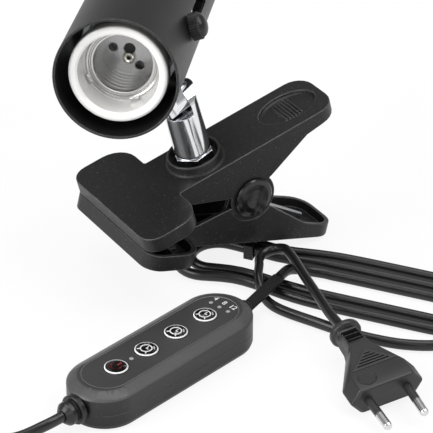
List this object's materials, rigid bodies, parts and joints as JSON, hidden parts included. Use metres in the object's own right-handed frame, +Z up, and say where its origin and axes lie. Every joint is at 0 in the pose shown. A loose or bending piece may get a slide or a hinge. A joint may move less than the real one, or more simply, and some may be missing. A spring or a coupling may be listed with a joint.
{
  "type": "terrarium clamp lamp",
  "caption": "Spring clamp lamp with a swivelling tube shade, a sliding porcelain lampholder, an inline timer and a mains lead with a flat plug.",
  "frame": {"origin": "centre of the jaws' grip, where the edge that the lamp is clamped to lies", "axes": "+X across the jaws, along the hinge pin; +Y from the jaws' mouth toward the handles; +Z up, through the upper jaw toward the lamp head"},
  "size_m": [0.3535, 0.265, 0.1618],
  "materials": {
    "clamp_plastic": "satin moulded",
    "cap_plastic": "gloss",
    "zinc_steel": "zinc plated",
    "chrome": "polished plating",
    "shade_coat": "black powder coat on thin spun aluminium",
    "trim_plastic": "fine matt",
    "porcelain": "glazed white ceramic",
    "shell_nickel": "nickel plated",
    "brass": "worn",
    "case_plastic": "satin moulded",
    "panel_film": "printed film",
    "button_gloss": "gloss",
    "lens": "translucent grey",
    "board": "solder resist",
    "cord_pvc": "soft PVC",
    "plug_pvc": "matt PVC",
    "pin_nickel": "nickel plated brass"
  },
  "bodies": {
    "clamp_base": {"lower_jaw": "clamp_plastic", "hinge_pin": "zinc_steel", "hinge_caps": "cap_plastic", "clamp_spring": "zinc_steel", "case_top": "case_plastic", "case_base": "case_plastic", "face_panel": "panel_film", "circuit_board": "board", "tact_switches": "zinc_steel", "indicator_lenses": "lens", "case_screws": "zinc_steel", "lamp_side_gland": "trim_plastic", "mains_side_gland": "trim_plastic", "lamp_cord": "cord_pvc", "mains_lead": "cord_pvc", "mains_hank": "cord_pvc", "plug_lead": "cord_pvc", "cable_tie": "trim_plastic", "plug_body": "plug_pvc", "plug_pins": "pin_nickel", "pin_sleeves": "plug_pvc"},
    "upper_arm": {"upper_jaw": "clamp_plastic"},
    "post": {"knuckle_post": "chrome", "post_nut": "chrome", "post_washer": "zinc_steel", "post_lock_nut": "zinc_steel", "knuckle_screw": "zinc_steel"},
    "head": {"knuckle_head": "chrome", "shade_stud": "zinc_steel", "shade_tube": "shade_coat", "rear_cap": "trim_plastic", "cord_gland": "trim_plastic"},
    "carriage": {"holder_bracket": "zinc_steel", "porcelain_holder": "porcelain", "screw_shell": "shell_nickel", "centre_contact": "brass", "holder_screws": "zinc_steel"},
    "thumb": {"thumb_screw": "trim_plastic"},
    "power_button": {"power_button": "button_gloss"},
    "timer_button_1": {"timer_button_1": "button_gloss"},
    "timer_button_2": {"timer_button_2": "button_gloss"},
    "timer_button_3": {"timer_button_3": "button_gloss"}
  },
  "joints": [
    {"name": "jaw_hinge", "type": "hinge", "parent": "clamp_base", "child": "upper_arm", "pos_m": [0, 0.057, 0], "axis": [-1, 0, 0], "range_deg": [0, 45], "stiffness_Nm_per_rad": 1.2, "springref_deg": -63.03, "deforming": ["clamp_spring", "lamp_cord"]},
    {"name": "post_pan", "type": "hinge", "parent": "upper_arm", "child": "post", "pos_m": [0, 0.03486, 0.01964], "axis": [0, -0.247, 0.969], "range_deg": [-120, 120], "deforming": ["lamp_cord"]},
    {"name": "head_tilt", "type": "hinge", "parent": "post", "child": "head", "pos_m": [0, 0.02575, 0.0554], "axis": [-0.184, 0.9525, 0.2428], "range_deg": [-55, 75], "deforming": ["lamp_cord"]},
    {"name": "holder_slide", "type": "slide", "parent": "head", "child": "carriage", "axis": [-0.7679, 0.6272, -0.1299], "range_m": [0, 0.033]},
    {"name": "thumb_turn", "type": "hinge", "parent": "carriage", "child": "thumb", "pos_m": [0.01839, 0.02426, 0.10036], "axis": [0.5679, 0.7605, 0.3148], "range_deg": [0, 360]},
    {"name": "power_button_press", "type": "slide", "parent": "clamp_base", "child": "power_button", "axis": [0, 0, -1], "range_m": [0, 0.0006], "stiffness_N_per_m": 600, "springref_m": -0.0006},
    {"name": "timer_button_1_press", "type": "slide", "parent": "clamp_base", "child": "timer_button_1", "axis": [0, 0, -1], "range_m": [0, 0.0006], "stiffness_N_per_m": 600, "springref_m": -0.0006},
    {"name": "timer_button_2_press", "type": "slide", "parent": "clamp_base", "child": "timer_button_2", "axis": [0, 0, -1], "range_m": [0, 0.0006], "stiffness_N_per_m": 600, "springref_m": -0.0006},
    {"name": "timer_button_3_press", "type": "slide", "parent": "clamp_base", "child": "timer_button_3", "axis": [0, 0, -1], "range_m": [0, 0.0006], "stiffness_N_per_m": 600, "springref_m": -0.0006}
  ]
}
